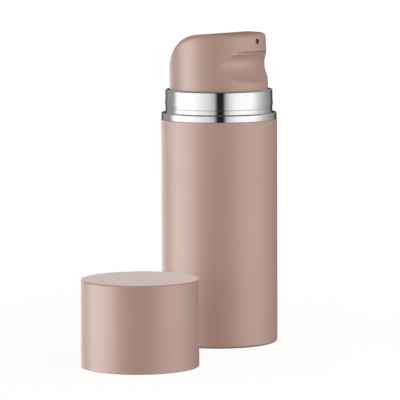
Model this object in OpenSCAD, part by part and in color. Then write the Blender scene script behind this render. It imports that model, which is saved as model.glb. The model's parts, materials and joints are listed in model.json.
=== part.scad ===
// Airless pump bottle, cap taken off and standing beside it. Millimetres.
// Z up, origin at the centre of the bottle's foot, nozzle towards -Y.

/* [Outer bottle] */
// Outer radius of the bottle
body_r = 23; // [21:0.5:30]
// Height of the bottle's tube
body_h = 88.6; // [75:0.1:130]
// Wall of the bottle
body_wall = 1.5; // [1.3:0.1:2.2]
// Rounding of the foot's outer edge
foot_fillet = 1; // [0.4:0.1:1.2]
// Thickness of the base plug's disc
plug_t = 1.5; // [1.4:0.1:2.5]
// Height of the base plug's skirt
plug_skirt_h = 4.3; // [3:0.1:8]
// Radius of the air vent in the base plug
vent_r = 3; // [1:0.1:4]
// Distance of the air vent from the axis
vent_at = 9; // [6:0.5:12]

/* [Inner vessel] */
// Gap between the vessel and the bottle
vessel_gap = 0.3; // [0.2:0.05:0.6]
// Wall of the vessel
vessel_wall = 1.2; // [0.8:0.1:1.8]
// Outer radius of the vessel's neck
neck_r = 13.8; // [12.5:0.1:14.2]
// Wall of the neck
neck_wall = 1.8; // [1.2:0.1:2.4]
// Height of the neck above the vessel's shoulder
neck_h = 6.4; // [5.5:0.1:9]
// Height of the snap bead above the vessel's shoulder
neck_bead_z = 2.8; // [2.4:0.1:3.4]
// Thickness of the gasket on the neck
gasket_t = 0.8; // [0.5:0.1:1.5]

/* [Follower piston] */
// Radial clearance of the follower's lips
follower_fit = 0.08; // [0.02:0.01:0.1]
// Height of the follower
follower_h = 10; // [8:0.1:14]
// Height of each sealing lip
lip_h = 1.6; // [0.8:0.1:2.4]
// Wall of the follower
follower_wall = 1.3; // [0.8:0.1:2]
// Gap between the follower and what stops it
follower_rest_gap = 0.3; // [0.1:0.05:0.5]

/* [Collar] */
// Height of the shoulder ring
ring_h = 2.7; // [2:0.1:5]
// Step from the bottle to the shoulder ring
ring_step = 0.25; // [0.1:0.05:0.6]
// Depth of the ring's spigot in the bottle
spigot_h = 2.8; // [1.5:0.1:3]
// Height of the collar above the ring
collar_h = 9.2; // [8:0.1:16]
// Step from the bottle to the collar
collar_step = 1.85; // [1.7:0.05:2.5]
// Wall of the collar
collar_wall = 1.35; // [1:0.05:1.6]
// Thickness of the collar's floor
collar_floor = 1.1; // [0.8:0.1:1.5]
// Height of the cap's grip groove above the ring
groove_z = 1.85; // [1.6:0.05:2.6]
// Depth of the grip groove
groove_d = 0.3; // [0.1:0.05:0.4]
// Height of the grip bead above the ring
bead_z = 3.3; // [3.1:0.1:5]
// Height of the grip bead on the collar
bead_d = 0.2; // [0.1:0.02:0.3]

/* [Pump] */
// Stroke of the head
stroke = 6; // [3:0.1:7]
// Bore radius of the pump chamber
chamber_r = 5.6; // [5.4:0.1:6]
// Wall of the pump chamber
chamber_wall = 1.2; // [0.8:0.1:1.4]
// Thickness of the chamber's flange
flange_t = 1.2; // [0.8:0.1:2]
// Thickness of the closure
closure_t = 1.2; // [1:0.1:2]
// Wall of the closure's skirt
closure_wall = 1.35; // [1.2:0.05:1.6]
// Outer radius of the stem
stem_r = 2.4; // [2.2:0.05:2.6]
// Bore radius of the stem
stem_bore = 1.2; // [0.9:0.05:1.4]
// Radial clearance of the stem in its bores
stem_fit = 0.05; // [0.02:0.01:0.1]
// Lost motion between stem and pump piston
lag = 0.8; // [0.4:0.1:1]
// Height of the pump piston
piston_h = 3.2; // [2.6:0.1:4]
// Radial clearance of the pump piston
piston_fit = 0.05; // [0.02:0.01:0.1]
// Thickness of the poppet's disc
poppet_t = 1.2; // [0.8:0.1:2]
// Radius of the poppet's disc
poppet_r = 3.8; // [3.4:0.1:4.6]
// Radius of the inlet ball
ball_r = 2.4; // [2.1:0.05:2.5]
// Radius of the inlet bore
inlet_r = 1.5; // [1.1:0.05:1.7]
// Radial gap round the inlet ball
ball_gap = 0.35; // [0.2:0.05:0.5]
// Lift of the inlet ball
ball_lift = 1; // [0.5:0.1:1.5]

/* [Spring] */
// Wire diameter of the return spring
wire_d = 0.9; // [0.6:0.05:1]
// Mean radius of the return spring
spring_r = 5.25; // [5.15:0.05:5.8]
// Fitted length of the return spring
spring_l = 12.7; // [12:0.1:15]
// Free turns of the return spring
spring_turns = 5; // [3:1:6]

/* [Head] */
// Gap between the head and the collar's bore
head_gap = 0.3; // [0.2:0.05:0.6]
// Height of the head's front above the collar
head_h = 22.1; // [20:0.1:30]
// Height of the head's back above the collar
back_h = 3.5; // [3:0.1:10]
// Where the flat top starts to fall, in front of the axis
flat_s = 3.2; // [0:0.1:8]
// How far behind the head its top's curve would turn vertical
arc_over = 2.0; // [0.6:0.1:6]
// Rounding of the head's top edge in front
edge_r = 1.4; // [0.6:0.1:2]
// How much wider that rounding gets to the back
edge_more = 1.4; // [0:0.1:1.6]
// Lean of the head to the back, mm per mm of height
lean = 0.03; // [0:0.005:0.05]
// Draft of the head's side, mm per mm of height
draft = 0.025; // [0:0.005:0.04]
// Wall of the head
head_wall = 1.3; // [1:0.1:1.8]
// Height of the nozzle below the front of the top
nozzle_drop = 3; // [3:0.1:6]
// Radius of the nozzle's hole
nozzle_r = 1.05; // [0.6:0.05:1.2]
// Height of the finger scoop's deepest line above the collar
scoop_h = 9.8; // [9.2:0.1:11]
// Height of the lip over the finger scoop
scoop_top = 15.4; // [14.4:0.1:15.6]
// Radius of the finger scoop's hollow
scoop_r = 8.4; // [8:0.1:11]
// Rounding under the lip
scoop_corner = 1; // [0.5:0.1:2]
// Depth of the finger scoop at the front
scoop_d = 2.8; // [1:0.1:3.2]
// Radius of the scoop's face across the head
scoop_face_r = 27; // [24:1:40]

/* [Cap] */
// Step from the shoulder ring to the cap
cap_step = 0.35; // [0.2:0.05:0.6]
// Clearance between cap and collar
cap_fit = 0.35; // [0.25:0.05:0.45]
// Draft of the cap's side
cap_draft = 0.15; // [0:0.05:0.3]
// Thickness of the cap's top
cap_top_t = 1.2; // [0.8:0.1:2]
// Rounding of the cap's top edge
cap_edge_r = 0.5; // [0.2:0.1:0.7]
// Room between the head and the closed cap
cap_room = 0.6; // [0.3:0.1:2]
// Free way between the standing cap and the bottle
cap_away = 24.8; // [5:0.1:60]
// Direction of the standing cap
cap_dir = 189.6; // [150:0.1:210]

/* [Hidden] */
$fn = 96;

rose = [0.69, 0.57, 0.52];
silver = [0.86, 0.87, 0.88];
natural = [0.93, 0.93, 0.9];
grey = [0.45, 0.45, 0.47];
steel = [0.62, 0.63, 0.65];

// Bottle and vessel
body_bore = body_r - body_wall;
plug_z = 0;
vessel_z = plug_z + plug_t;
vessel_r = body_bore - vessel_gap;
vessel_bore = vessel_r - vessel_wall;
plug_fit = 0.1;
plug_bead = 0.2;
plug_skirt_r = vessel_bore - 0.15;
plug_skirt_wall = 1.15;

// Collar
ring_r = body_r - ring_step;
ring_z = body_h;
ring_top = ring_z + ring_h;
collar_r = body_r - collar_step;
collar_bore = collar_r - collar_wall;
collar_top = ring_top + collar_h;
floor_top = ring_top + collar_floor;
hub_gap = 0.1;
hub_wall = 1.2;
ring_gap = 0.2;

// Pump closure, counted down from the collar's floor
closure_rise = 1.2;
closure_top = floor_top + closure_rise;
flange_top = closure_top - closure_t;
flange_z = flange_top - flange_t;
neck_top = flange_z - gasket_t;
shoulder_top = neck_top - neck_h;
shoulder_t = vessel_wall;
shoulder_z = shoulder_top - shoulder_t;
neck_bore = neck_r - neck_wall;
neck_bead = 0.45;
neck_bead_h = 1.2;
closure_bore = neck_r + neck_bead + 0.1;
closure_r = closure_bore + closure_wall;
closure_z = shoulder_top + 0.3;
closure_bead_r = neck_r + 0.15;
hub_bore = closure_r + hub_gap;
hub_r = hub_bore + hub_wall;
hub_z = ring_z - spigot_h;
ring_bore = hub_r + ring_gap;
spigot_r = body_bore - 0.15;
spigot_wall = 1.15;

// Chamber cap: flange on the chamber, disc and centring skirt in its mouth
guide_r = stem_r + stem_fit;
cap_flange_t = 1;
cap_flange_r = chamber_r + chamber_wall + 1.2;
cap_disc_t = 1;
cap_skirt_h = 0.9;
cap_disc_z = flange_top - cap_disc_t;
cap_top = flange_top + cap_flange_t;
seal_pocket_r = 3.65;
seal_t = 1.1;
seal_floor_z = flange_top - 0.3;

// Stem and piston, counted down from the chamber cap
shoulder_gap = 0.15;
stop_t = 1;
stop_r = 3.4;
stop_z = cap_disc_z - shoulder_gap - stop_t;
lag_gap = 0.05;
piston_z = stop_z - lag - lag_gap - piston_h;
poppet_z = piston_z - lag_gap - poppet_t;
stem_z = piston_z + 0.65;
shaft_r = stem_bore - 0.05;
shaft_l = 4.8;
shaft_flat = 1.3 * shaft_r;
chamber_floor_t = 1.2;
chamber_floor_z = poppet_z - stroke - 0.6 - chamber_floor_t;
nose_bore = ball_r + ball_gap;
nose_wall = 1.45;
nose_r = nose_bore + nose_wall;
inlet_t = 1.4;
lug_in = 1.6;
lug_t = 1.2;
seat_rise = sqrt(ball_r * ball_r - inlet_r * inlet_r);
stop_rise = sqrt(ball_r * ball_r - lug_in * lug_in);
seat_gap = 0.03;
lug_z = chamber_floor_z - 0.2;
seat_z = lug_z - 0.1 - stop_rise - ball_lift - seat_gap - seat_rise;
ball_z = seat_z + seat_rise + seat_gap;
inlet_z = seat_z - inlet_t;

// Follower, standing on the base plug's skirt
follower_z = vessel_z + plug_skirt_h + follower_rest_gap;
follower_r = vessel_bore - follower_fit;
follower_web = 2.3;
well_r = nose_r + 1;
well_floor = follower_z + 0.7;
well_top = chamber_r + chamber_wall + 0.8;
follower_travel = min(inlet_z - well_floor - follower_wall,
    shoulder_z - follower_z - follower_h,
    chamber_floor_z - follower_z - follower_h + follower_web) - follower_rest_gap;

// Spring and core
spring_z = cap_top;
spring_top = spring_z + spring_l;
web_z = spring_top + 0.3;
web_t = 1.4;
socket_r = spring_r - wire_d / 2 - 0.35;
socket_z = closure_top + stroke + 0.9;
socket_h = 4.2;
stem_top = web_z + socket_h;
drum_z = closure_top + stroke + 0.2;
drum_r = 9.9;
drum_wall = 1.3;
column_r = 2.8;
column_top = 0.5;

// Head
head_r = collar_bore - head_gap;
head_base = collar_top;
skirt_z = floor_top + stroke + 0.5;
head_top = head_base + head_h;
nozzle_z = head_top - nozzle_drop;
arc_a = head_r + flat_s + arc_over;
arc_b = (head_h - back_h) / (1 - sqrt(1 - pow((head_r + flat_s) / arc_a, 2)));
scoop_ring_r = scoop_face_r + scoop_r;
scoop_s = head_r - lean * scoop_h - draft * scoop_h - scoop_d - scoop_face_r;
hub_in = drum_r + 0.1;
hub_out = hub_in + head_wall;
hub_low = web_z - 2.5;
hub_high = web_z + 5;
rib_t = 1;
outlet_r = nozzle_r + 0.25;
room_s = -lean * head_h / 2;
room_r = head_r - draft * head_h - head_wall + room_s;
outlet_end = room_s + room_r - 0.1;

// Cap
cap_r = ring_r - cap_step;
cap_bore = collar_r + cap_fit;
cap_h = head_top + cap_room + cap_top_t - ring_top;
cap_dist = body_r + cap_r + cap_away;
cap_bead = cap_fit - bead_d + 0.1;

// Height of the head's top over the collar, at a way s in front of the axis
function arc(s, w) = s >= flat_s ? 0 :
    (arc_b - w) * (1 - sqrt(max(0, 1 - pow((flat_s - s) / (arc_a - w), 2))));
function top_h(s) = head_h - arc(s, 0);
function side_r(h) = head_r - draft * max(h, 0);
function side_s(h) = -lean * max(h, 0);
function edge_at(a) = edge_r + edge_more * (1 - cos(a)) / 2;
function edge_drop(i, e) = i >= e ? 0 : e - sqrt(e * e - pow(e - i, 2));
// Height of the rounded skin at angle a from the front and way i in from the side
function skin_h(i, a, h, n) = n == 0 ? h :
    skin_h(i, a, top_h(side_s(h) + max(side_r(h) - i, 0) * cos(a))
        - edge_drop(i, edge_at(a)), n - 1);
function skin_pt(i, a) = let (
    h = skin_h(i, a, head_h * 0.6, 6),
    q = max(side_r(h) - i, 0))
    [q * sin(a), -side_s(h) - q * cos(a), head_base + h];
head_n = 90;
edge_n = 5;
top_n = 7;
skin_n = edge_n + top_n;
function inset(k, e) = k <= edge_n ? e * (1 - cos(90 * k / edge_n))
    : e + (head_r - e - 1) * (k - edge_n) / top_n;

// The head's outer form: straight skirt, drafted side, rounded edge, curved top
module head_form() {
    n = head_n;
    low = [for (i = [0 : n - 1]) let (a = 360 * i / n)
        [head_r * sin(a), -head_r * cos(a), skirt_z]];
    base = [for (i = [0 : n - 1]) let (a = 360 * i / n)
        [head_r * sin(a), -head_r * cos(a), head_base]];
    skin = [for (k = [0 : skin_n - 1]) for (i = [0 : n - 1]) let (a = 360 * i / n)
        skin_pt(inset(k, edge_at(a)), a)];
    mid_h = skin_h(head_r, 0, head_h * 0.8, 6);
    rings = 2 + skin_n;
    pts = concat(low, base, skin,
        [[0, -side_s(mid_h), head_base + mid_h], [0, 0, skirt_z]]);
    tip = rings * n;
    walls = [for (k = [0 : rings - 2]) for (i = [0 : n - 1]) let (
        j = (i + 1) % n,
        a = k * n + i,
        b = k * n + j,
        c = (k + 1) * n + j,
        d = (k + 1) * n + i)
        each [[a, c, b], [a, d, c]]];
    lid = [for (i = [0 : n - 1]) [(rings - 1) * n + i, tip, (rings - 1) * n + (i + 1) % n]];
    floor_fan = [for (i = [0 : n - 1]) [i, (i + 1) % n, tip + 1]];
    polyhedron(points = pts, faces = concat(walls, lid, floor_fan), convexity = 6);
}

// The finger scoop: a round hollow under a flat lip, swept across the front
module scoop(grow) {
    r = scoop_r + grow;
    c = scoop_corner + grow;
    turn_h = scoop_top - scoop_corner - scoop_h;
    edge = scoop_ring_r - sqrt(r * r - turn_h * turn_h);
    translate([0, -scoop_s, head_base + scoop_h])
        rotate_extrude() {
            difference() {
                translate([scoop_ring_r, 0])
                    circle(r = r);
                translate([0, turn_h])
                    square([scoop_ring_r + 2 * r, 2 * r]);
            }
            translate([edge + c, turn_h])
                circle(r = c);
            translate([edge + c, turn_h - 1])
                square([scoop_ring_r - edge - c, c + 1]);
        }
}

// Room inside the head, under a curved roof that follows the top
module head_room() {
    w = head_wall + 0.2;
    in_r = head_r - head_wall;
    steps = 20;
    back = -in_r - 1;
    roof = [for (k = [0 : steps]) let (
        s = back + (flat_s - back) * k / steps)
        [s, head_base + head_h - w - arc(s, w)]];
    low = skirt_z + 4;
    translate([0, 0, skirt_z - 1])
        cylinder(r = in_r, h = low - skirt_z + 1);
    difference() {
        intersection() {
            translate([0, -room_s, low - 1])
                cylinder(r = room_r, h = head_top - low);
            rotate([90, 0, -90])
                linear_extrude(height = 2 * head_r, center = true)
                    polygon(concat([[back, low - 1]], roof,
                        [[in_r + 1, head_base + head_h - w], [in_r + 1, low - 1]]));
        }
        scoop(head_wall);
    }
}

module actuator_shell() {
    color(rose)
    difference() {
        head_form();
        difference() {
            head_room();
            difference() {
                translate([0, 0, hub_low])
                    cylinder(r = hub_out, h = hub_high - hub_low);
                translate([0, 0, hub_low - 1])
                    cylinder(r = hub_in, h = hub_high - hub_low + 2);
            }
            for (a = [45 : 90 : 315])
                rotate([0, 0, a])
                    translate([hub_in + 0.3, -rib_t / 2, hub_low])
                        cube([head_r, rib_t, head_top - hub_low]);
        }
        scoop(0);
        translate([0, 0, nozzle_z])
            rotate([90, 0, 0])
                cylinder(r = nozzle_r, h = head_r + 5);
    }
}

module actuator_core() {
    color(natural)
    difference() {
        union() {
            translate([0, 0, socket_z])
                cylinder(r = socket_r, h = stem_top + 0.9 - socket_z);
            translate([0, 0, web_z])
                cylinder(r = drum_r, h = web_t);
            difference() {
                translate([0, 0, drum_z])
                    cylinder(r = drum_r, h = web_z - drum_z + 0.2);
                translate([0, 0, drum_z - 1])
                    cylinder(r = drum_r - drum_wall, h = web_z - drum_z + 2);
            }
            translate([0, 0, web_z])
                cylinder(r = column_r, h = nozzle_z + column_top - web_z);
            translate([0, 0, nozzle_z])
                rotate([90, 0, 0])
                    cylinder(r = outlet_r, h = outlet_end);
        }
        translate([0, 0, socket_z - 1])
            cylinder(r = guide_r, h = stem_top + 0.1 - socket_z + 1);
        translate([0, 0, stem_top - 1])
            cylinder(r = stem_bore, h = nozzle_z - stem_top + 1);
        translate([0, -0.5, nozzle_z])
            rotate([90, 0, 0])
                cylinder(r = nozzle_r - 0.15, h = outlet_end + 1);
    }
}

module outer_bottle() {
    color(rose)
    rotate_extrude()
        difference() {
            union() {
                translate([body_bore, foot_fillet])
                    square([body_wall, body_h - foot_fillet]);
                translate([body_bore, 0])
                    square([body_wall - foot_fillet, foot_fillet + 0.5]);
                translate([body_r - foot_fillet, foot_fillet])
                    circle(r = foot_fillet);
            }
            translate([0, -1])
                square([body_bore, 4]);
            translate([body_bore - 1, plug_z + plug_t / 2 - 0.35])
                square([1 + plug_bead, 0.7]);
        }
}

module base_plug() {
    color(rose)
    difference() {
        union() {
            translate([0, 0, plug_z])
                cylinder(r = body_bore - plug_fit, h = plug_t);
            translate([0, 0, plug_z + plug_t / 2 - 0.25])
                cylinder(r = body_bore + plug_bead - plug_fit, h = 0.5);
            translate([0, 0, plug_z])
                cylinder(r = plug_skirt_r, h = plug_t + plug_skirt_h);
        }
        translate([0, 0, plug_z + plug_t])
            cylinder(r = plug_skirt_r - plug_skirt_wall, h = plug_skirt_h + 1);
        translate([0, vent_at, plug_z - 1])
            cylinder(r = vent_r, h = plug_t + 2);
    }
}

module inner_vessel() {
    color(natural)
    difference() {
        union() {
            translate([0, 0, vessel_z])
                cylinder(r = vessel_r, h = shoulder_top - vessel_z);
            translate([0, 0, shoulder_z])
                cylinder(r = neck_r, h = neck_top - shoulder_z);
            translate([0, 0, shoulder_top + neck_bead_z])
                cylinder(r = neck_r + neck_bead, h = neck_bead_h);
        }
        translate([0, 0, vessel_z - 1])
            cylinder(r = vessel_bore, h = shoulder_z - vessel_z + 1);
        translate([0, 0, shoulder_z - 1])
            cylinder(r = neck_bore, h = neck_top - shoulder_z + 2);
    }
}

module follower_piston() {
    lip_in = follower_r - follower_wall;
    web_top = follower_z + follower_h - follower_web;
    web_low = web_top - follower_wall;
    color(natural)
    rotate_extrude()
        polygon([[0, well_floor],
            [well_r + follower_wall, well_floor],
            [well_top + follower_wall, web_low],
            [lip_in - 0.4, web_low],
            [lip_in - 0.4, follower_z + lip_h],
            [lip_in, follower_z],
            [follower_r, follower_z],
            [follower_r, follower_z + lip_h],
            [follower_r - 0.5, follower_z + lip_h + 0.5],
            [follower_r - 0.5, follower_z + follower_h - lip_h - 0.5],
            [follower_r, follower_z + follower_h - lip_h],
            [follower_r, follower_z + follower_h],
            [lip_in + 0.3, follower_z + follower_h],
            [lip_in - 0.1, web_top],
            [well_top, web_top],
            [well_r, well_floor + follower_wall],
            [0, well_floor + follower_wall]]);
}

module shoulder_ring() {
    color(silver)
    difference() {
        union() {
            translate([0, 0, ring_z])
                cylinder(r = ring_r, h = ring_h);
            translate([0, 0, ring_z - spigot_h])
                cylinder(r = spigot_r, h = spigot_h + 0.5);
        }
        translate([0, 0, ring_z - spigot_h - 1])
            cylinder(r = spigot_r - spigot_wall, h = spigot_h + 1);
        translate([0, 0, ring_z - 1])
            cylinder(r = ring_bore, h = ring_h + 2);
    }
}

module collar_sleeve() {
    color(silver)
    rotate_extrude()
        difference() {
            union() {
                translate([hub_bore, hub_z])
                    square([hub_wall, floor_top - hub_z]);
                translate([hub_bore, ring_top])
                    square([collar_r - hub_bore, collar_floor]);
                translate([collar_bore, ring_top])
                    square([collar_wall, collar_h]);
                polygon([[collar_r - 0.1, ring_top + bead_z - 1],
                    [collar_r + bead_d, ring_top + bead_z - 0.3],
                    [collar_r + bead_d, ring_top + bead_z + 0.5],
                    [collar_r - 0.1, ring_top + bead_z + 1.8]]);
            }
            translate([collar_r - groove_d, ring_top + groove_z - 0.25])
                square([1, 0.5]);
        }
}

module pump_closure() {
    color(natural)
    rotate_extrude() {
        translate([closure_bore, closure_z])
            square([closure_wall, closure_top - closure_z]);
        translate([closure_bead_r, closure_z + 0.3])
            square([closure_r - closure_bead_r, neck_bead_z - 0.9]);
        translate([cap_flange_r + 0.2, flange_top])
            square([closure_r - cap_flange_r - 0.2, closure_t]);
    }
}

module neck_gasket() {
    color(grey)
    difference() {
        translate([0, 0, neck_top])
            cylinder(r = neck_r, h = gasket_t);
        translate([0, 0, neck_top - 1])
            cylinder(r = neck_bore + 0.2, h = gasket_t + 2);
    }
}

module pump_chamber() {
    color(natural)
    difference() {
        union() {
            translate([0, 0, flange_z])
                cylinder(r = neck_r + 0.3, h = flange_t);
            translate([0, 0, chamber_floor_z])
                cylinder(r = chamber_r + chamber_wall, h = flange_top - chamber_floor_z);
            translate([0, 0, inlet_z])
                cylinder(r = nose_r, h = chamber_floor_z - inlet_z + 0.5);
        }
        translate([0, 0, chamber_floor_z + chamber_floor_t])
            cylinder(r = chamber_r, h = flange_top - chamber_floor_z);
        translate([0, 0, inlet_z - 1])
            cylinder(r = inlet_r, h = inlet_t + 2);
        difference() {
            translate([0, 0, seat_z])
                cylinder(r = nose_bore, h = chamber_floor_z + chamber_floor_t - seat_z + 1);
            for (a = [0 : 120 : 240])
                rotate([0, 0, a])
                    translate([lug_in, -0.6, lug_z])
                        cube([nose_bore, 1.2, lug_t]);
        }
    }
}

module chamber_cap() {
    color(natural)
    rotate_extrude()
        polygon([[guide_r, cap_disc_z],
            [chamber_r - 1, cap_disc_z],
            [chamber_r - 1, cap_disc_z - cap_skirt_h],
            [chamber_r - 0.05, cap_disc_z - cap_skirt_h],
            [chamber_r - 0.05, flange_top],
            [cap_flange_r, flange_top],
            [cap_flange_r, cap_top],
            [seal_pocket_r, cap_top],
            [seal_pocket_r, seal_floor_z],
            [guide_r, seal_floor_z]]);
}

module stem_seal() {
    color(grey)
    difference() {
        translate([0, 0, seal_floor_z])
            cylinder(r = seal_pocket_r - 0.05, h = seal_t);
        translate([0, 0, seal_floor_z - 1])
            cylinder(r = guide_r, h = seal_t + 2);
    }
}

module stem() {
    color(natural)
    difference() {
        union() {
            translate([0, 0, stem_z])
                cylinder(r = stem_r, h = stem_top - stem_z);
            translate([0, 0, stop_z])
                cylinder(r = stop_r, h = stop_t);
        }
        translate([0, 0, stem_z - 1])
            cylinder(r = stem_bore, h = stem_top - stem_z + 2);
    }
}

module poppet() {
    color(natural) {
        translate([0, 0, poppet_z])
            cylinder(r = poppet_r, h = poppet_t);
        intersection() {
            translate([0, 0, poppet_z])
                cylinder(r = shaft_r, h = poppet_t + shaft_l);
            translate([-shaft_r - 1, -shaft_flat / 2, poppet_z])
                cube([2 * shaft_r + 2, shaft_flat, poppet_t + shaft_l + 1]);
        }
    }
}

module pump_piston() {
    r = chamber_r - piston_fit;
    bore = stem_r + 2 * stem_fit;
    color(natural)
    rotate_extrude()
        polygon([[bore, piston_z],
            [r, piston_z],
            [r, piston_z + 0.7],
            [r - 0.6, piston_z + 1.1],
            [r - 0.6, piston_z + piston_h - 1.1],
            [r, piston_z + piston_h - 0.7],
            [r, piston_z + piston_h],
            [bore, piston_z + piston_h]]);
}

module inlet_ball() {
    color(steel)
    translate([0, 0, ball_z])
        sphere(r = ball_r);
}

// Return spring: one wire, a closed turn at each end and open turns between
coil_sides = 6;
coil_rings = 8;
end_turns = 1;
all_turns = spring_turns + 2 * end_turns;
coil_n = all_turns * coil_rings;
end_pitch = wire_d + 0.5;
open_pitch = (spring_l - wire_d - 2 * end_turns * end_pitch) / spring_turns;
function coil_rise(t) = t <= end_turns ? end_pitch * t :
    t <= end_turns + spring_turns ? end_pitch * end_turns + open_pitch * (t - end_turns) :
    end_pitch * end_turns + open_pitch * spring_turns
        + end_pitch * (t - end_turns - spring_turns);
function coil_pt(t) = [spring_r * cos(360 * t), spring_r * sin(360 * t),
    spring_z + wire_d / 2 + coil_rise(t)];
coil_path = [for (k = [0 : coil_n]) coil_pt(k / coil_rings)];
coil_gap = min([for (i = [0 : 4 : coil_n]) for (j = [i + 6 : coil_n])
    norm(coil_path[i] - coil_path[j])]) - wire_d;
echo(spring_least_gap = coil_gap);
echo(follower_travel = follower_travel, stroke = stroke, height = head_top, cap_h = cap_h);

module return_spring() {
    m = coil_sides;
    d = wire_d * [0, 1, 0];
    first = coil_path[0] - d;
    last = coil_path[coil_n] + d;
    path = concat([first], coil_path, [last]);
    n = len(path);
    pts = [for (k = [0 : n - 1]) let (
        t = (min(max(k - 1, 0), coil_n)) / coil_rings,
        u = [cos(360 * t), sin(360 * t), 0])
        for (i = [0 : m - 1]) let (a = 360 * i / m + 30)
            path[k] + wire_d / 2 * (cos(a) * u + sin(a) * [0, 0, 1])];
    sides = [for (k = [0 : n - 2]) for (i = [0 : m - 1]) let (
        j = (i + 1) % m,
        a = k * m + i,
        b = k * m + j,
        c = (k + 1) * m + j,
        e = (k + 1) * m + i)
        each [[a, b, c], [a, c, e]]];
    start = [for (i = [1 : m - 2]) [0, i + 1, i]];
    end = [for (i = [1 : m - 2]) [(n - 1) * m, (n - 1) * m + i, (n - 1) * m + i + 1]];
    color(steel)
    polyhedron(points = pts, faces = concat(sides, start, end), convexity = 10);
}

module overcap() {
    side = cap_r - cap_draft;
    color(rose)
    translate([cap_dist * cos(cap_dir), cap_dist * sin(cap_dir), 0])
        rotate_extrude()
            difference() {
                union() {
                    polygon([[0, 0], [cap_r, 0], [side, cap_h - cap_edge_r],
                        [0, cap_h - cap_edge_r]]);
                    translate([0, cap_h - cap_edge_r - 0.5])
                        square([side - cap_edge_r, cap_edge_r + 0.5]);
                    translate([side - cap_edge_r, cap_h - cap_edge_r])
                        circle(r = cap_edge_r);
                }
                difference() {
                    translate([-1, -1])
                        square([cap_bore + 1, cap_h - cap_top_t + 1]);
                    polygon([[cap_bore + 1, groove_z - 0.6],
                        [cap_bore - cap_bead, groove_z - 0.1],
                        [cap_bore - cap_bead, groove_z + 0.1],
                        [cap_bore + 1, groove_z + 1.6]]);
                }
                translate([-2, -2])
                    square([2, cap_h + 4]);
            }
}

outer_bottle();
base_plug();
inner_vessel();
follower_piston();
shoulder_ring();
collar_sleeve();
pump_closure();
neck_gasket();
pump_chamber();
chamber_cap();
stem_seal();
stem();
poppet();
pump_piston();
return_spring();
inlet_ball();
actuator_core();
actuator_shell();
overcap();
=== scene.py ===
"""Airless pump bottle, its overcap standing beside it. Lengths are in millimetres, but for the
lamps, the floor and the camera, which are in metres."""
import json

import bpy
import numpy as np
from mathutils import Matrix, Vector


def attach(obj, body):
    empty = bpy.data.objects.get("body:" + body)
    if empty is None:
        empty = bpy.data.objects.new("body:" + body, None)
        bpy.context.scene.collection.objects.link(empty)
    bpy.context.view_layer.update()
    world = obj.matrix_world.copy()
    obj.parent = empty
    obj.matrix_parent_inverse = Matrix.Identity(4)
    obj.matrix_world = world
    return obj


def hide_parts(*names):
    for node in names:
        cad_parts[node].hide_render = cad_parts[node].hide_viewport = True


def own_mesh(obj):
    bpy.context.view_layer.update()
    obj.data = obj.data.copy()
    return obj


MM = 0.001
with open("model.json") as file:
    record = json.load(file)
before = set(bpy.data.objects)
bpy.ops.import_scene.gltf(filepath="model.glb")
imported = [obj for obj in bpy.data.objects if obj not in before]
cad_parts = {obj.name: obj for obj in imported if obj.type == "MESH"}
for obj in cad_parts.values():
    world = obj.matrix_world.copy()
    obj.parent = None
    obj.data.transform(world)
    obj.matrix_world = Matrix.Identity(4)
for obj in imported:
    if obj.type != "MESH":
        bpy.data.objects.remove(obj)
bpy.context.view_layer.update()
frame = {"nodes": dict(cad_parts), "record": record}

# Sizes of the CAD. The radii of tube and overcap are a little under its own, so that no piece
# stands past its box
BODY_R, BODY_BORE, BODY_H = 22.98, 21.5, 88.6
PLUG_GROOVE_D, PLUG_GROOVE_LOW, PLUG_GROOVE_TOP = 0.2, 0.4, 1.1
RING_R, RING_BORE, RING_TOP = 22.75, 17.2, 91.3
SPIGOT_R, SPIGOT_BORE, SPIGOT_Z = 21.35, 20.2, 85.8
COLLAR_R, COLLAR_BORE, COLLAR_TOP = 21.15, 19.8, 100.5
FLOOR_TOP, FLOOR_BORE, NECK_R = 92.4, 15.8, 17.0
BEAD_D, GROOVE_D, GROOVE_H, GROOVE_HALF = 0.16, 0.3, 1.9, 0.2
CAP_R, CAP_BORE, CAP_H, CAP_LID, CAP_DRAFT, CAP_GRIP = 22.385, 21.5, 33.1, 1.2, 0.15, 0.25
CAP_AT = (-69.217, -11.707)
WIRE_R, COIL_R, COIL_Z = 0.45, 5.25, 93.4
COIL_TURNS, COIL_PITCH, CLOSED_PITCH = 5, 1.8, 1.4
HEAD_R, HEAD_H, BACK_H, FLAT_S, ARC_OVER = 19.5, 22.1, 3.5, 3.2, 2.0
EDGE_R, EDGE_MORE, LEAN, DRAFT, WALL, SKIRT_H = 1.4, 1.4, 0.03, 0.025, 1.3, -1.6
NOZZLE_H, NOZZLE_R, NOZZLE_EDGE = 19.1, 1.05, 0.12
SCOOP_H, SCOOP_TOP, SCOOP_R, SCOOP_CORNER, SCOOP_D, SCOOP_FACE_R = 9.8, 15.4, 8.4, 1.0, 2.8, 27.0
ROOF_MORE, FOOT_R, EDGE_IN, BLOCK_OUT, BLOCK_IN = 0.2, 0.2, 0.3, 1.55, 1.3
HUB_BORE, HUB_R, HUB_LOW, HUB_TOP = 10.0, 11.3, 103.9, 111.4
RIB_IN, RIB_OUT, RIB_H, RIB_TAPER = 10.6, 18.1, 3.4, 0.7

# Points round a turned piece. The nozzle's square of cells reaches HALF cells from its middle
# each way, and its hole HOLE cells
AROUND = 240
HALF, HOLE = 8, 4

# The photograph's right, and the way it looks, in the floor's plane
ACROSS = Vector((0.5736, -0.8192, 0))
ALONG = Vector((0.8192, 0.5736, 0))


# ------------------------------------------------------------------ finishes


def linear(hex_colour):
    """An sRGB hex colour as linear RGBA."""
    c = np.array([int(hex_colour[i:i + 2], 16) for i in (1, 3, 5)]) / 255
    c = np.where(c <= 0.04045, c / 12.92, ((c + 0.055) / 1.055) ** 2.4)
    return (*c.tolist(), 1.0)


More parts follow.
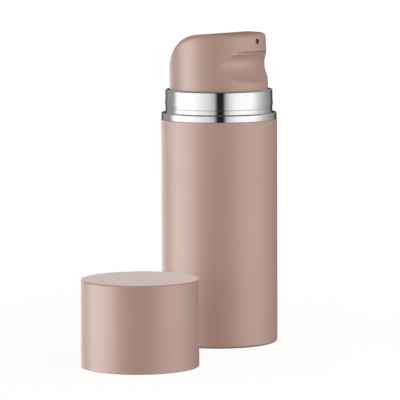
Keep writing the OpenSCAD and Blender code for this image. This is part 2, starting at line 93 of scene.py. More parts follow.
def add(tree, kind, inputs=(), **settings):
    """A node with its settings, and each input given a value or a link."""
    node = tree.nodes.new(kind)
    for key, value in settings.items():
        setattr(node, key, value)
    for key, value in dict(inputs).items():
        if isinstance(value, bpy.types.NodeSocket):
            tree.links.new(value, node.inputs[key])
        else:
            node.inputs[key].default_value = value
    return node


def finish_tree(name):
    """A new material with an empty tree."""
    m = bpy.data.materials.new(name)
    m.use_nodes = True
    m.node_tree.nodes.clear()
    return m, m.node_tree


def polymer(name, pale, deep, rough, grain, ripple, bore_shade=None, **sockets):
    """Moulded or lacquered polymer. pale and deep are mixed by a fine grain and a broad
    cloud, roughness follows the grain, and a bump gives the skin. grain and ripple are
    (size, depth) in millimetres, the grain's depth being how far its roughness goes. The last
    argument, if given, is the middle of a hole's wall along Y, its radius, and a dark colour
    painted inside it as the hole's shade."""
    m, t = finish_tree(name)
    place = add(t, "ShaderNodeTexCoord").outputs["Object"]
    fine = add(t, "ShaderNodeTexNoise", {"Vector": place, "Scale": 1 / (grain[0] * MM),
                                         "Detail": 3.0, "Roughness": 0.6})
    broad = add(t, "ShaderNodeTexNoise", {"Vector": place, "Scale": 1 / (25 * MM),
                                          "Detail": 2.0})
    both = add(t, "ShaderNodeMath", {0: fine.outputs["Fac"], 1: broad.outputs["Fac"]},
               operation="ADD")
    share = add(t, "ShaderNodeMapRange", {"Value": both.outputs[0], "From Min": 0.7,
                                          "From Max": 1.3})
    tint = add(t, "ShaderNodeMix", {0: share.outputs[0], 6: linear(deep), 7: linear(pale)},
               data_type="RGBA")
    if bore_shade:
        # Painted shade in the hole: its dark colour stands in for the hole's shadow. Y counts a
        # fifth, so the painted shade reaches five radii along the hole
        off = add(t, "ShaderNodeVectorMath", {0: place, 1: [v * MM for v in bore_shade[0]]},
                  operation="SUBTRACT")
        flat = add(t, "ShaderNodeVectorMath", {0: off.outputs[0], 1: (1, 0.2, 1)},
                   operation="MULTIPLY")
        far = add(t, "ShaderNodeVectorMath", {0: flat.outputs[0]}, operation="LENGTH")
        inside = add(t, "ShaderNodeMath", {0: far.outputs["Value"], 1: bore_shade[1] * MM},
                     operation="LESS_THAN")
        tint = add(t, "ShaderNodeMix", {0: inside.outputs[0], 6: tint.outputs[2],
                                        7: linear(bore_shade[2])}, data_type="RGBA")
    dull = add(t, "ShaderNodeMapRange", {
        "Value": fine.outputs["Fac"], "From Min": 0.3, "From Max": 0.7,
        "To Min": rough - grain[1], "To Max": rough + grain[1]})
    skin = add(t, "ShaderNodeTexNoise", {"Vector": place, "Scale": 1 / (ripple[0] * MM),
                                         "Detail": 1.0})
    bump = add(t, "ShaderNodeBump", {"Height": skin.outputs["Fac"],
                                     "Distance": ripple[1] * MM, "Strength": 1.0})
    bsdf = add(t, "ShaderNodeBsdfPrincipled", {
        "Base Color": tint.outputs[2], "Roughness": dull.outputs[0],
        "Normal": bump.outputs["Normal"], **sockets})
    add(t, "ShaderNodeOutputMaterial", {"Surface": bsdf.outputs["BSDF"]})
    return m


def metal(name, pale, deep, rough, grain, depth, stretch=(1, 1, 1)):
    """Bare or plated metal: a stretched grain moves its colour between pale and deep, its
    roughness by a sixth, and its bump. grain and depth are in millimetres."""
    m, t = finish_tree(name)
    place = add(t, "ShaderNodeTexCoord").outputs["Object"]
    drawn = add(t, "ShaderNodeMapping", {"Vector": place, "Scale": stretch})
    fine = add(t, "ShaderNodeTexNoise", {"Vector": drawn.outputs[0],
                                         "Scale": 1 / (grain * MM), "Detail": 2.0})
    share = add(t, "ShaderNodeMapRange", {"Value": fine.outputs["Fac"], "From Min": 0.3,
                                          "From Max": 0.7})
    tint = add(t, "ShaderNodeMix", {0: share.outputs[0], 6: linear(deep), 7: linear(pale)},
               data_type="RGBA")
    dull = add(t, "ShaderNodeMapRange", {"Value": share.outputs[0], "To Min": rough * 0.85,
                                         "To Max": rough * 1.15})
    bump = add(t, "ShaderNodeBump", {"Height": fine.outputs["Fac"], "Distance": depth * MM,
                                     "Strength": 1.0})
    bsdf = add(t, "ShaderNodeBsdfPrincipled", {
        "Base Color": tint.outputs[2], "Metallic": 1.0, "Roughness": dull.outputs[0],
        "Normal": bump.outputs["Normal"]})
    add(t, "ShaderNodeOutputMaterial", {"Surface": bsdf.outputs["BSDF"]})
    return m


# ABS sprayed with a satin pearl lacquer. Mica flakes lift its index over a clear lacquer's, so
# that wide soft highlights lie over a dusty rose. The flakes are drawn five times too large.
LACQUER = "#B48F81", "#AE897B", 0.5, (0.5, 0.02), (1.6, 0.0010)
satin_rose = polymer("abs_satin_pearl_lacquered", *LACQUER, IOR=1.6)
# The same lacquer on the head, with painted shade in the nozzle's hole: a deep brown on its
# wall that stands in for the shadow inside the hole
head_rose = polymer("abs_satin_pearl_lacquered_head", *LACQUER, IOR=1.6,
                    bore_shade=((0, -18.9, COLLAR_TOP + NOZZLE_H), NOZZLE_R + 0.06, "#4A2C20"))
# ABS moulded, inside the head: a dull deep brown behind the nozzle, painted shade that
# darkens the nozzle's hole
shade_brown = polymer("abs_moulded_painted_shade", "#5A3A2C", "#4E3125", 0.45, (0.8, 0.03),
                     (1.0, 0.002), IOR=1.54)
# ABS plated bright: a mirror with a ripple left by the moulding
bright_plate = metal("abs_bright_plated", "#F3F3F4", "#EDEEEF", 0.05, 3.0, 0.0003)
# Natural polypropylene as moulded: milky and slightly waxy
milky = polymer("polypropylene_natural_moulded", "#EFEEE8", "#E7E5DD", 0.45, (1.2, 0.03),
                (0.8, 0.002), IOR=1.49)
# Nitrile rubber as moulded: dark and dull, with the mould's fine texture
seal = polymer("nitrile_rubber_moulded", "#4E4E52", "#434347", 0.7, (0.4, 0.04),
               (0.5, 0.004), IOR=1.52)
# Stainless steel wire as drawn: fine marks, drawn coarser than they are
wire = metal("stainless_wire_drawn", "#C2C3C7", "#ADAEB2", 0.28, 0.3, 0.001, (1, 1, 3))
# Stainless steel ball, ground and polished
ground = metal("stainless_ball_polished", "#CFD0D3", "#C3C4C8", 0.12, 0.8, 0.0004)

LOOKS = {"rose_plastic": satin_rose, "bright_collar": bright_plate, "natural_plastic": milky,
         "seal_rubber": seal, "spring_steel": wire}


# ------------------------------------------------------------------ mesh making


def make_piece(name, points, faces, look, body, node, slot, crease=40):
    """A mesh piece from points in millimetres and arrays of quads and triangles. It is turned
    outwards by the sign of its volume, and smooth but for edges over crease degrees."""
    p = np.asarray(points, float)
    faces = [np.asarray(f) for f in faces]
    tris = np.concatenate([f[:, :3] for f in faces] +
                          [f[:, [0, 2, 3]] for f in faces if f.shape[1] == 4])
    a, b, c = p[tris[:, 0]], p[tris[:, 1]], p[tris[:, 2]]
    if np.einsum("ij,ij->i", a, np.cross(b, c)).sum() < 0:
        faces = [f[:, ::-1] for f in faces]
    mesh = bpy.data.meshes.new(name)
    mesh.from_pydata(p * MM, [], [q for f in faces for q in f.tolist()])
    mesh.polygons.foreach_set("use_smooth", np.ones(len(mesh.polygons), bool))
    mesh.set_sharp_from_angle(angle=np.radians(crease))
    mesh.materials.append(look)
    piece = bpy.data.objects.new(name, mesh)
    bpy.context.scene.collection.objects.link(piece)
    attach(piece, body)
    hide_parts(node)
    return piece


def rounded(corners, closed=True, steps=6, near=0.08):
    """An outline through corners (x, y, radius). Each corner becomes an arc that touches both
    its sides, found by turning from one touching point to the other about the arc's middle,
    with one more point near millimetres beyond each end so that the sides stay flat."""
    c = np.asarray(corners, float)
    if not closed:
        return np.concatenate([c[:1, :2], rounded(c, True, steps, near)[steps + 3:-steps - 3],
                               c[-1:, :2]])
    p, r = c[:, :2], c[:, 2]
    back, ahead = np.roll(p, 1, 0) - p, np.roll(p, -1, 0) - p
    back /= np.linalg.norm(back, axis=1)[:, None]
    ahead /= np.linalg.norm(ahead, axis=1)[:, None]
    half = np.arccos(np.clip((back * ahead).sum(1), -1, 1)) / 2
    reach = (r / np.tan(half))[:, None]
    start, end = p + back * reach, p + ahead * reach
    mid = back + ahead
    mid /= np.maximum(np.linalg.norm(mid, axis=1), 1e-9)[:, None]
    centre = p + mid * (r / np.sin(half))[:, None]
    turn = np.maximum(np.pi - 2 * half, 1e-6)[:, None]
    k = np.linspace(0, 1, steps + 1)[None]
    w0, w1 = np.sin((1 - k) * turn) / np.sin(turn), np.sin(k * turn) / np.sin(turn)
    arc = (centre[:, None] + w0[..., None] * (start - centre)[:, None]
           + w1[..., None] * (end - centre)[:, None])
    return np.concatenate([(start + back * near)[:, None], arc, (end + ahead * near)[:, None]],
                          1).reshape(-1, 2)


def grid(rows, cols, wrap=False):
    """Quads of a grid of points whose columns wrap round, and whose rows may."""
    i, j = np.arange(rows if wrap else rows - 1)[:, None], np.arange(cols)[None]
    i2, j2 = (i + 1) % rows, (j + 1) % cols
    return np.stack(np.broadcast_arrays(i * cols + j, i * cols + j2, i2 * cols + j2,
                                        i2 * cols + j), -1).reshape(-1, 4)


def closing(rows, cols):
    """Triangles that close such a grid's first and last row, each round one more point, the
    two that come right after the grid's own."""
    j, last, tip = np.arange(cols), (rows - 1) * cols, rows * cols
    j2 = (j + 1) % cols
    return [np.stack([j2, j, tip + 0 * j], -1),
            np.stack([last + j, last + j2, tip + 1 + 0 * j], -1)]


def turned(outline, at=(0.0, 0.0), around=AROUND):
    """Points and faces of an outline of (radius, height) turned once about a vertical axis:
    x and y are the radius times the angle's cosine and sine. A closed outline makes a ring,
    and one that starts and ends on the axis gets a single point at each pole."""
    a = np.linspace(0, 2 * np.pi, around, endpoint=False)
    solid = outline[0, 0] < 1e-6
    body = outline[1:-1] if solid else outline
    r, z = body[:, :1], body[:, 1:]
    ring = np.stack([at[0] + r * np.cos(a), at[1] + r * np.sin(a), z + 0 * a], -1)
    ring = ring.reshape(-1, 3)
    if not solid:
        return ring, [grid(len(body), around, wrap=True)]
    poles = np.array([[*at, outline[0, 1]], [*at, outline[-1, 1]]])
    return (np.concatenate([ring, poles]),
            [grid(len(body), around), *closing(len(body), around)])


# ------------------------------------------------------------------ turned pieces

# Bottle: straight tube with a rounded foot, and the groove that holds the base plug
groove_r = BODY_BORE + PLUG_GROOVE_D
tube = rounded([(BODY_BORE, 0, 0.1), (BODY_R, 0, 1.0), (BODY_R, BODY_H, 0.12),
                (BODY_BORE, BODY_H, 0.12), (BODY_BORE, PLUG_GROOVE_TOP, 0.03),
                (groove_r, PLUG_GROOVE_TOP, 0.03), (groove_r, PLUG_GROOVE_LOW, 0.03),
                (BODY_BORE, PLUG_GROOVE_LOW, 0.03)], near=0.04)
make_piece("bottle_tube", *turned(tube), satin_rose, "bottle", "outer_bottle", "rose_plastic")

# Shoulder ring: a bright step, with a spigot down into the tube
step = rounded([(RING_BORE, BODY_H, 0.1), (SPIGOT_BORE, BODY_H, 0.1),
                (SPIGOT_BORE, SPIGOT_Z, 0.1), (SPIGOT_R, SPIGOT_Z, 0.1),
                (SPIGOT_R, BODY_H, 0.05), (RING_R, BODY_H, 0.15), (RING_R, RING_TOP, 0.28),
                (RING_BORE, RING_TOP, 0.1)])
make_piece("collar_step", *turned(step), bright_plate, "bottle", "shoulder_ring",
           "bright_collar")

# Collar: the outer wall's radius is a straight wall, plus a bead that rises and falls
# smoothly, less a groove whose section is a superellipse. h is the height over the ring
h = np.concatenate([np.linspace(0.4, 1.5, 5), np.linspace(1.56, 2.14, 30),
                    np.linspace(2.2, 5.5, 40), np.linspace(5.8, 8.8, 4)])
bead = np.minimum(np.clip((5.6 - h) / 1.9, 0, 1), np.clip((h - 2.3) / 1.4, 0, 1))
bead = BEAD_D * bead ** 2 * (3 - 2 * bead)
groove = GROOVE_D * np.sqrt(np.clip(1 - np.abs((h - GROOVE_H) / GROOVE_HALF) ** 4, 0, 1))
corners = rounded([(COLLAR_R, RING_TOP, 0.15), (COLLAR_R, COLLAR_TOP, 0.55),
                   (COLLAR_BORE, COLLAR_TOP, 0.2), (COLLAR_BORE, FLOOR_TOP, 0.2),
                   (FLOOR_BORE, FLOOR_TOP, 0.1), (FLOOR_BORE, SPIGOT_Z, 0.1),
                   (NECK_R, SPIGOT_Z, 0.1), (NECK_R, RING_TOP, 0.05)])
sleeve = np.concatenate([corners[:9], np.stack([COLLAR_R + bead - groove, RING_TOP + h], -1),
                         corners[9:]])
make_piece("collar_wall", *turned(sleeve), bright_plate, "bottle", "collar_sleeve",
           "bright_collar")

# Overcap: drafted side, rounded top edge, and the grip bead inside its mouth
shell = rounded([(0, CAP_H - CAP_LID, 1), (CAP_BORE, CAP_H - CAP_LID, 0.6),
                 (CAP_BORE, 3.45, 0.3), (CAP_BORE - CAP_GRIP, 1.95, 0.08),
                 (CAP_BORE - CAP_GRIP, 1.75, 0.08), (CAP_BORE, 1.25, 0.2), (CAP_BORE, 0, 0.15),
                 (CAP_R, 0, 0.15), (CAP_R - CAP_DRAFT, CAP_H, 0.5), (0, CAP_H, 1)],
                closed=False)
make_piece("cap_shell", *turned(shell, CAP_AT), satin_rose, "cap", "overcap", "rose_plastic")


def coil(around=24, sides=12):
    """Points and faces of the return spring's wire: a circle carried round the axis, its height
    following the turns it has made, slowly over the closed turn at each end."""
    turns = COIL_TURNS + 2
    t = np.linspace(0, turns, turns * around + 1)[:, None]
    open_rise = CLOSED_PITCH + COIL_TURNS * COIL_PITCH
    rise = np.interp(t, (0, 1, turns - 1, turns),
                     (0, CLOSED_PITCH, open_rise, open_rise + CLOSED_PITCH))
    b = np.linspace(0, 2 * np.pi, sides, endpoint=False)
    out = COIL_R + WIRE_R * np.cos(b)
    wall = np.stack([out * np.cos(2 * np.pi * t), out * np.sin(2 * np.pi * t),
                     COIL_Z + WIRE_R + rise + WIRE_R * np.sin(b)], -1)
    return (np.concatenate([wall.reshape(-1, 3), wall[:1].mean(1), wall[-1:].mean(1)]),
            [grid(len(t), sides), *closing(len(t), sides)])


# Return spring: it stands on the chamber's cap, and the head's 6 mm press it together, from
# 12.7 mm to 6.7 mm
spring = make_piece("spring_wire", *coil(), wire, "bottle", "return_spring", "spring_steel")
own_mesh(spring)


# ------------------------------------------------------------------ pump head

# Half axes of the ellipse in the head's top, radius of the circle that the middle of the
# scoop's groove runs along, how far in front of the bottle's axis that circle's own middle is
# (below 0, as it is behind), and the height where the lip's corner starts
ARC_A = HEAD_R + FLAT_S + ARC_OVER
ARC_B = (HEAD_H - BACK_H) / (1 - np.sqrt(1 - ((HEAD_R + FLAT_S) / ARC_A) ** 2))
RING = SCOOP_FACE_R + SCOOP_R
RING_S = HEAD_R - (LEAN + DRAFT) * SCOOP_H - SCOOP_D - SCOOP_FACE_R
LIP_TURN = SCOOP_TOP - SCOOP_CORNER


def roof(s, deep):
    """Height over the collar of the head's top, at s in front of the axis and deep under the
    skin: flat, then an ellipse that falls to the back."""
    x = np.clip((FLAT_S - s) / (ARC_A - deep), 0, 1)
    return HEAD_H - deep - (ARC_B - deep) * (1 - np.sqrt(1 - x * x))


def side(h, deep):
    """Radius of the drafted side at height h."""
    return HEAD_R - deep - DRAFT * np.maximum(h, 0)


def scooped(a, h, deep):
    """Reach of the wall at angle a from the front and height h: the side's radius, or less
    where the finger scoop is. The scoop is a round groove swept about an axis behind the
    head, with a round corner under its lip, and it meets the side in a soft minimum."""
    corner = SCOOP_CORNER + deep
    low = RING - np.sqrt(np.maximum((SCOOP_R + deep) ** 2
                                    - (np.minimum(h, LIP_TURN) - SCOOP_H) ** 2, 0))
    up = np.clip((h - LIP_TURN) / corner, 0, 1)
    face = low + corner * (1 - np.sqrt(1 - up * up))
    d = -LEAN * np.maximum(h, 0) - RING_S
    reach = np.sqrt(np.maximum(face ** 2 - (d * np.sin(a)) ** 2, 0)) - d * np.cos(a)
    wall, soft = side(h, deep), 0.6
    w = np.clip(0.5 + 0.5 * (reach - wall) / soft, 0, 1)
    return reach + (wall - reach) * w - soft * w * (1 - w)


def head_skin(deep, roof_deep, edge, block):
    """A skin of the head as a grid of points: rows run up the skirt, the side with its scoop
    and lip, the rounded edge and the top, and columns run round from the front. edge is the
    edge's radius in front and how much more it is behind. block is half the side of the
    square of cells round the nozzle, whose rings turn from the square to a circle of the
    nozzle's radius in their middle."""
    across_square = 2 * HALF + 1
    cells = np.linspace(-1, 1, across_square) * block
    ahead = np.arcsin(cells / side(NOZZLE_H, deep))
    rest = np.linspace(ahead[-1], 2 * np.pi - ahead[-1], AROUND + 2 - across_square)[1:-1]
    angle = np.concatenate([ahead, rest])

    # Side: heights of the rows in front, and blend, each row's way from the scoop's wall to
    # the plain side. The lip's corner turns 72 degrees, its face goes on for part of the
    # way, and a parabola rounds it over to the side above
    top, part = SCOOP_TOP + deep, 0.55
    bend = np.linspace(0, np.radians(72), 10)
    k = np.linspace(0, 1, 8)[1:]
    flat = np.linspace(0, part, 5)[1:]
    lip_h = LIP_TURN + (SCOOP_CORNER + deep) * np.sin(bend)
    face_h = top - (top - lip_h[-1]) * (1 - flat / part) * 0.6
    turn_h = (1 - k) ** 2 * top + 2 * k * (1 - k) * (top + 0.03) + k * k * (top + 0.8)
    turn_b = (1 - k) ** 2 * part + 2 * k * (1 - k) + k * k
    low = np.linspace(0, LIP_TURN, 38)[:-1]
    gap = np.linspace(turn_h[-1], NOZZLE_H - block, 5)[1:-1]
    up = np.concatenate([low, lip_h, face_h, turn_h, gap, NOZZLE_H + cells])
    blend = np.concatenate([0 * low, 0 * lip_h, flat, turn_b, 1 + 0 * gap, 1 + 0 * cells])
    eave = HEAD_H - roof_deep - edge[0]
    edge = (edge[0] + edge[1] * (1 - np.cos(angle)) / 2)[None]
    up = np.append(up, (up[-1] + eave) / 2)
    blend = np.append(blend, 1)
    first = len(up) - across_square - 1

    # Edge and top: how far in from the side, and how far under the roof. The top's rows lie
    # closer together near its edge
    turn = np.linspace(0, np.pi / 2, 9)
    lid = (np.arange(1, 37) / 37) ** 1.4
    inset = edge * (1 - np.cos(turn[:, None]))
    drop = np.concatenate([edge * (1 - np.sin(turn[:, None])), 0 * lid[:, None] + 0 * edge])

    def settle(cut, share, drop, a):
        """Height and reach on the top, found by working out each from the other in turn."""
        h = 0.6 * HEAD_H + 0 * a
        for _ in range(9):
            reach = (side(h, deep) - cut) * (1 - share)
            h = roof(reach * np.cos(a) - LEAN * h, roof_deep) - drop
        return h, reach

    cut = np.concatenate([inset, edge + 0 * lid[:, None]])
    share = np.concatenate([0 * turn, lid])[:, None]
    crown_h, crown_r = settle(cut, share, drop, angle[None] + 0 * cut)
    eaves = crown_h[:1]

    # The side's rows crowd round the lip in front, up to 1 radian to each side, and are even
    # behind
    behind = np.clip((np.abs((angle + np.pi) % (2 * np.pi) - np.pi) - 1.0) / 0.35, 0, 1)
    behind = behind * behind * (3 - 2 * behind)
    even = np.linspace(0, 1, len(up) + 1)[:-1, None]
    h = eaves * ((1 - behind) * (up / eave)[:, None] + behind * even)
    a = angle[None] + 0 * h

    # The nozzle's square of cells
    i, j = np.mgrid[-HALF:HALF + 1, -HALF:HALF + 1]
    far = np.maximum(np.abs(i), np.abs(j))
    ring = np.maximum(far - HOLE, 0) / (HALF - HOLE)
    size = NOZZLE_R + NOZZLE_EDGE + (block - NOZZLE_R - NOZZLE_EDGE) * ring
    dist = np.maximum(np.hypot(i, j), 1)

    def placed(n):
        """Where the cells' corners lie along one axis, from their numbers along it."""
        return np.where(far < HOLE, n / HOLE * 0.7,
                        (1 - ring) * size * n / dist + ring * block * n / HALF)

    square = np.s_[first:first + across_square, :across_square]
    h[square] = NOZZLE_H + placed(i)
    a[square] = np.arcsin(placed(j) / side(NOZZLE_H, deep))
    reach = scooped(a, h, deep)
    reach += blend[:, None] * (side(h, deep) - reach)

    skirt = np.linspace(SKIRT_H + FOOT_R, 0, 5)[:-1, None] + 0 * angle[None]
    height = np.concatenate([skirt, h, crown_h])
    around = np.concatenate([angle[None] + 0 * skirt, a, angle[None] + 0 * crown_h])
    reach = np.concatenate([HEAD_R - deep + 0 * skirt, reach, crown_r])
    points = np.stack([reach * np.sin(around),
                       LEAN * np.maximum(height, 0) - reach * np.cos(around),
                       COLLAR_TOP + height], -1)
    tip_h = roof(-LEAN * crown_h[-1, 0], roof_deep)
    tip = [0, LEAN * tip_h, COLLAR_TOP + tip_h]
    return points, np.array(tip), first + len(skirt)


def pump_head():
    """The head's hollow shell: an outer and an inner skin joined round the skirt's foot and
    through the nozzle's hole, with the hub and ribs that hold the core inside."""
    outer, outer_tip, row = head_skin(0, 0, (EDGE_R, EDGE_MORE), BLOCK_OUT)
    inner, inner_tip, inner_row = head_skin(WALL, WALL + ROOF_MORE, (EDGE_IN, 0), BLOCK_IN)
    cols = outer.shape[1]
    low, high = HALF - HOLE, HALF + HOLE
    points, faces, skins, count = [], [], [], 0
    for skin, tip, hole in ((outer, outer_tip, row), (inner, inner_tip, inner_row)):
        rows = skin.shape[0]
        quads = grid(rows, cols).reshape(rows - 1, cols, 4)
        keep = np.ones((rows - 1, cols), bool)
        keep[hole + low:hole + high, low:high] = False
        j = np.arange(cols)
        fan = np.stack([(rows - 1) * cols + j, (rows - 1) * cols + (j + 1) % cols,
                        rows * cols + 0 * j], -1)
        flip = len(skins) == 1
        for f in (quads[keep], fan):
            faces.append((f[:, ::-1] if flip else f) + count)
        points += [skin.reshape(-1, 3), tip[None]]
        # Points round the hole, in order
        t = np.arange(high - low)
        rim = np.concatenate([
            (hole + low) * cols + low + t, (hole + low + t) * cols + high,
            (hole + high) * cols + high - t, (hole + high - t) * cols + low])
        skins.append((count, rim + count))
        count += rows * cols + 1

    def bridge(one, two):
        """Quads from one loop of points to the next."""
        return np.stack([one, np.roll(one, -1), np.roll(two, -1), two], -1)

    # The hole's wall: a small round edge, then straight in
    rim_out, rim_in = skins[0][1], skins[1][1]
    cloud = np.concatenate(points)
    mouth = cloud[rim_out]
    middle = mouth.mean(0)
    away = (mouth - middle) * [1, 0, 1]
    away /= np.linalg.norm(away, axis=1)[:, None]
    rings = [rim_out]
    for turn in np.radians([22, 45, 67, 90]):
        points.append(mouth - away * NOZZLE_EDGE * np.sin(turn)
                      + np.array([0, NOZZLE_EDGE * (1 - np.cos(turn)), 0]))
        rings.append(count + np.arange(len(mouth)))
        count += len(mouth)
    rings.append(rim_in)
    faces += [bridge(two, one) for one, two in zip(rings[:-1], rings[1:])]

    # The skirt's foot, rounded on both sides
    foot_out, foot_in = np.arange(cols), skins[1][0] + np.arange(cols)
    loops = [foot_out]
    for row_0, way, radius, turns in ((outer[0], -1, HEAD_R, [30, 60, 90]),
                                      (inner[0], 1, HEAD_R - WALL, [90, 60, 30])):
        for turn in np.radians(turns):
            scale = 1 + way * FOOT_R * (1 - np.cos(turn)) / radius
            points.append(row_0 * [scale, scale, 1] - [0, 0, FOOT_R * np.sin(turn)])
            loops.append(count + np.arange(cols))
            count += cols
    loops.append(foot_in)
    faces += [bridge(two, one) for one, two in zip(loops[:-1], loops[1:])]

    # Hub
    hub = rounded([(HUB_BORE, HUB_LOW, 0.2), (HUB_R, HUB_LOW, 0.2), (HUB_R, HUB_TOP, 0.2),
                   (HUB_BORE, HUB_TOP, 0.2)], steps=3)
    cloud, quads = turned(hub, around=96)
    points.append(cloud)
    faces += [q + count for q in quads]
    count += len(cloud)

    # Ribs: a plate 1 mm thick from the hub to the wall, leaning in at the wall, its top
    # following the roof into its thickness
    steps = 16
    for turn in np.radians([45, 135, 225, 315]):
        r, v, w = np.meshgrid(np.linspace(RIB_IN, RIB_OUT, steps), [0.0, 1.0], [-0.5, 0.5],
                              indexing="ij")
        r = r - (RIB_TAPER * (r - RIB_IN) / (RIB_OUT - RIB_IN)) * v
        s = -r * np.sin(turn)
        tall = np.minimum(roof(s, WALL + ROOF_MORE) + 0.4, HEAD_H - 1.1)
        z = COLLAR_TOP + RIB_H + v * np.maximum(tall - RIB_H, 0.5)
        cloud = np.stack([r * np.cos(turn) - w * np.sin(turn),
                          r * np.sin(turn) + w * np.cos(turn), z], -1).reshape(-1, 3)
        k = np.arange(steps - 1)[:, None] * 4
        belt = np.array([[0, 1, 5, 4], [1, 3, 7, 5], [3, 2, 6, 7], [2, 0, 4, 6]])
        quads = (k[..., None] + belt[None]).reshape(-1, 4)
        last = 4 * (steps - 1)
        ends = np.array([[0, 2, 3, 1], [last, last + 1, last + 3, last + 2]])
        points.append(cloud)
        faces.append(np.concatenate([quads, ends]) + count)
        count += len(cloud)
    return np.concatenate(points), faces


make_piece("head_shell", *pump_head(), head_rose, "head", "actuator_shell", "rose_plastic")


# ------------------------------------------------------------------ CAD nodes that stay

for piece in frame["record"]["subparts"]:
    node = frame["nodes"].get(piece["node"])
    if node and not node.hide_render:
        node.data.materials.clear()
        node.data.materials.append(LOOKS[piece["material_slot"]])
frame["nodes"]["inlet_ball"].data.materials[0] = ground
# The core behind the nozzle takes the deep brown of painted shade
frame["nodes"]["actuator_core"].data.materials[0] = shade_brown


# ------------------------------------------------------------------ studio


def studio():
    """The room's light by direction: tall soft lights to both sides of the object, a dark gap
    between them in front, grey walls behind near the horizon, and pale elsewhere."""
    world = bpy.data.worlds.new("studio")
    bpy.context.scene.world = world
    world.cycles.sampling_method = "NONE"   # diffuse and glossy rays see different levels
    world.use_nodes = True
    t = world.node_tree
    t.nodes.clear()
    way = add(t, "ShaderNodeTexCoord").outputs["Generated"]
    right = add(t, "ShaderNodeVectorMath", {0: way, 1: ACROSS}, operation="DOT_PRODUCT")
    front = add(t, "ShaderNodeVectorMath", {0: way, 1: -ALONG}, operation="DOT_PRODUCT")
    turn = add(t, "ShaderNodeMath", {0: right.outputs["Value"], 1: front.outputs["Value"]},
               operation="ARCTAN2")
    circle = add(t, "ShaderNodeMapRange", {"Value": turn.outputs[0], "From Min": -np.pi,
                                           "From Max": np.pi})
    high = add(t, "ShaderNodeSeparateXYZ", {0: way}).outputs["Z"]

    def walls(stops, top):
        """Radiance round the horizon from stops of (degrees, radiance)."""
        ramp = add(t, "ShaderNodeValToRGB", {0: circle.outputs[0]})
        e = ramp.color_ramp.elements
        while len(e) > 1:
            e.remove(e[-1])
        for n, (degrees, level) in enumerate(stops):
            at = (degrees + 180) / 360
            stop = e[0] if n == 0 else e.new(at)
            stop.position = at
            stop.color = (level / top,) * 3 + (1,)
        return add(t, "ShaderNodeMath", {0: ramp.outputs[0], 1: top},
                   operation="MULTIPLY").outputs[0]

    # Degrees from straight in front of the object, to the photograph's right
    sides = [(-140, 0.31), (-121, 0.31), (-113, 0.42), (-107, 0.8), (-100, 1.15),
             (-60, 1.2), (-41, 0.95), (-30, 0.84), (-19, 0.7), (-13, 0.6), (-9, 0.42),
             (-6, 0.2), (-3, 0.02), (7, 0.015), (10, 0.08), (15, 0.5), (24, 0.8), (36, 1.0),
             (50, 1.12), (76, 1.08), (88, 0.85), (100, 0.6), (121, 0.35), (140, 0.25)]
    eye = walls([(-180, 0.03), (-166, 0.06)] + sides + [(154, 0.06), (180, 0.03)], 2.0)
    tall = walls([(-180, 0.3), (-152, 0.33)] + sides + [(152, 0.33), (180, 0.3)], 2.0)
    rise = add(t, "ShaderNodeMapRange", {"Value": high, "From Min": 0.08, "From Max": 0.15},
               interpolation_type="SMOOTHSTEP")
    wall = add(t, "ShaderNodeMix", {0: rise.outputs[0], 2: eye, 3: tall})
    over = add(t, "ShaderNodeMapRange", {"Value": front.outputs["Value"], "From Min": -0.5,
                                         "From Max": 0.0, "To Min": 0.35, "To Max": 0.08},
               interpolation_type="SMOOTHSTEP")
    lid = add(t, "ShaderNodeMapRange", {"Value": high, "From Min": 0.2, "From Max": 0.34},
              interpolation_type="SMOOTHSTEP")
    room = add(t, "ShaderNodeMix", {0: lid.outputs[0], 2: wall.outputs[0],
                                    3: over.outputs[0]})
    deep = add(t, "ShaderNodeMapRange", {"Value": high, "From Min": -0.5, "From Max": -0.36},
               interpolation_type="SMOOTHSTEP")
    room = add(t, "ShaderNodeMix", {0: deep.outputs[0], 2: 0.1, 3: room.outputs[0]})
    fill = add(t, "ShaderNodeMapRange", {"Value": right.outputs["Value"], "From Min": -1.0,
                                         "To Min": 0.6, "To Max": 1.3})
    near = add(t, "ShaderNodeMapRange", {"Value": front.outputs["Value"], "From Min": -1.0,
                                         "To Min": 0.78, "To Max": 1.74})
    fill = add(t, "ShaderNodeMath", {0: fill.outputs[0], 1: near.outputs[0]},
               operation="MULTIPLY")
    top = add(t, "ShaderNodeMapRange", {"Value": high, "From Min": 0.1, "From Max": 0.8,
                                        "To Min": 1.05, "To Max": 0.3})
    fill = add(t, "ShaderNodeMath", {0: fill.outputs[0], 1: top.outputs[0]},
               operation="MULTIPLY")
    ray = add(t, "ShaderNodeLightPath")
    soft = add(t, "ShaderNodeMix", {0: ray.outputs["Is Diffuse Ray"], 2: room.outputs[0],
                                    3: fill.outputs[0]})
    level = add(t, "ShaderNodeMix", {0: ray.outputs["Is Camera Ray"], 2: soft.outputs[0],
                                     3: 1.0})
    back = add(t, "ShaderNodeBackground", {"Color": (1, 1, 1, 1),
                                           "Strength": level.outputs[0]})
    add(t, "ShaderNodeOutputWorld", {"Surface": back.outputs[0]})


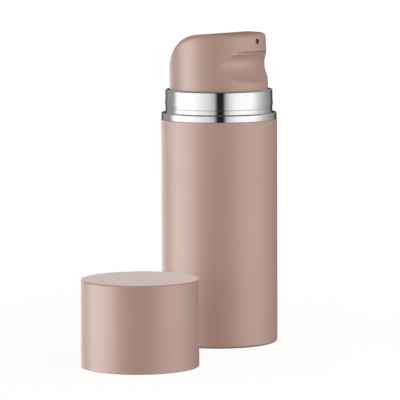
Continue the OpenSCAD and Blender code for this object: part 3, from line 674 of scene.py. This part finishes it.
def softboxes():
    """Soft lights that give the lacquer and the plain plastics their wide highlights. The
    plated parts mirror the room's walls instead, so they take no light from these. The lamps
    reach below the floor's level, and the floor doesn't shade them."""
    meshes = [piece for piece in bpy.context.scene.objects if piece.type == "MESH"]
    plain = [piece for piece in meshes if bright_plate.name not in piece.data.materials]
    head, cap = bpy.data.objects["head_shell"], bpy.data.objects["cap_shell"]

    def group(name, pieces):
        """A collection of pieces for a lamp to light, or to be shaded by."""
        made = bpy.data.collections.new(name)
        for piece in pieces:
            made.objects.link(piece)
        return made

    takers = group("softbox_takers", plain)
    head_only = group("head_light_takers", [head])
    but_head = group("body_light_takers", [piece for piece in plain if piece != head])
    over_cap = group("cap_light_takers", [cap])
    but_cap = group("cap_lets_light_by", [piece for piece in meshes if piece != cap])
    every = group("all_shade", meshes)
    # Name, degrees from the front to the right, height, width and height of the lamp, watts,
    # what it lights and what shades it
    for name, turn, lift, size, power, lit, shade in (
            ("left_of_head", -75, -0.05, (0.62, 0.26), 8.6, head_only, every),
            ("left", -77, -0.09, (1.05, 0.26), 10.4, but_head, but_cap),
            ("left_rim", -152, -0.09, (0.5, 0.26), 1.6, takers, every),
            ("right", 67, -0.09, (1.1, 0.26), 4.0, takers, every),
            ("left_wash", -70, 0.16, (0.8, 0.4), 2.2, takers, but_cap),
            ("right_wash", 72, 0.16, (0.8, 0.4), 0.8, takers, every),
            ("behind", 180, 0.28, (0.9, 0.35), 3.3, over_cap, over_cap)):
        lamp = bpy.data.lights.new("softbox_" + name, "AREA")
        lamp.shape, lamp.size, lamp.size_y, lamp.energy = "RECTANGLE", *size, power
        box = bpy.data.objects.new("softbox_" + name, lamp)
        bpy.context.scene.collection.objects.link(box)
        t = np.radians(turn)
        way = ACROSS * np.sin(t) - ALONG * np.cos(t)
        box.location = way * 0.8 + Vector((-0.03, 0, 0.05 + lift))
        box.rotation_euler = way.to_track_quat("Z", "Y").to_euler()
        box.visible_diffuse = box.name.endswith("wash")
        box.visible_glossy = not box.visible_diffuse
        box.light_linking.receiver_collection = lit
        box.light_linking.blocker_collection = shade


def floor():
    """A pale round floor. To the camera its own light fills it up to white where nothing
    shades it, so that only the soft shadow shows. From below it is clear."""
    m, t = finish_tree("painted_board_matt_white")
    place = add(t, "ShaderNodeTexCoord").outputs["Object"]
    mottle = add(t, "ShaderNodeTexNoise", {"Vector": place, "Scale": 30.0, "Detail": 2.0})
    shade = add(t, "ShaderNodeMapRange", {"Value": mottle.outputs["Fac"], "To Min": 0.53,
                                          "To Max": 0.57})
    board = add(t, "ShaderNodeBsdfDiffuse", {"Color": shade.outputs[0]})
    part = add(t, "ShaderNodeBsdfDiffuse", {"Color": (0.22, 0.22, 0.22, 1)})
    fill = add(t, "ShaderNodeEmission", {"Color": (1, 1, 1, 1), "Strength": 0.87})
    seen = add(t, "ShaderNodeAddShader", {0: part.outputs[0], 1: fill.outputs[0]})
    ray = add(t, "ShaderNodeLightPath")
    both = add(t, "ShaderNodeMixShader", {0: ray.outputs["Is Camera Ray"],
                                          1: board.outputs[0], 2: seen.outputs[0]})
    clear = add(t, "ShaderNodeBsdfTransparent")
    under = add(t, "ShaderNodeNewGeometry").outputs["Backfacing"]
    out = add(t, "ShaderNodeMixShader", {0: under, 1: both.outputs[0], 2: clear.outputs[0]})
    add(t, "ShaderNodeOutputMaterial", {"Surface": out.outputs[0]})
    a, reach = np.linspace(0, 2 * np.pi, 96, endpoint=False), 3
    mesh = bpy.data.meshes.new("floor")
    mesh.from_pydata(np.stack([reach * np.cos(a), reach * np.sin(a), 0 * a], -1), [],
                     [list(range(len(a)))])
    mesh.materials.append(m)
    board = bpy.data.objects.new("floor", mesh)
    bpy.context.scene.collection.objects.link(board)
    board.visible_glossy = False


def camera():
    """A long lens at the photograph's angle: the way it looks is a heading in the floor's
    plane, dipped, then rolled."""
    head, dip, roll = -0.006457, 0.1016, 0.004149
    up = Vector((0, 0, 1))
    ahead = ALONG * np.cos(head) + ACROSS * np.sin(head)
    right = ACROSS * np.cos(head) - ALONG * np.sin(head)
    look = ahead * np.cos(dip) - up * np.sin(dip)
    over = ahead * np.sin(dip) + up * np.cos(dip)
    x = right * np.cos(roll) - over * np.sin(roll)
    y = right * np.sin(roll) + over * np.cos(roll)
    data = bpy.data.cameras.new("camera")
    data.lens, data.sensor_width = 270, 36
    data.clip_start, data.clip_end = 0.05, 20
    cam = bpy.data.objects.new("camera", data)
    bpy.context.scene.collection.objects.link(cam)
    turn = Matrix((x, y, -look)).transposed().to_4x4()
    cam.matrix_world = Matrix.Translation((-0.9699, -0.6791, 0.177)) @ turn
    bpy.context.scene.camera = cam


studio()
softboxes()
floor()
camera()
bpy.context.scene.view_settings.view_transform = "Standard"
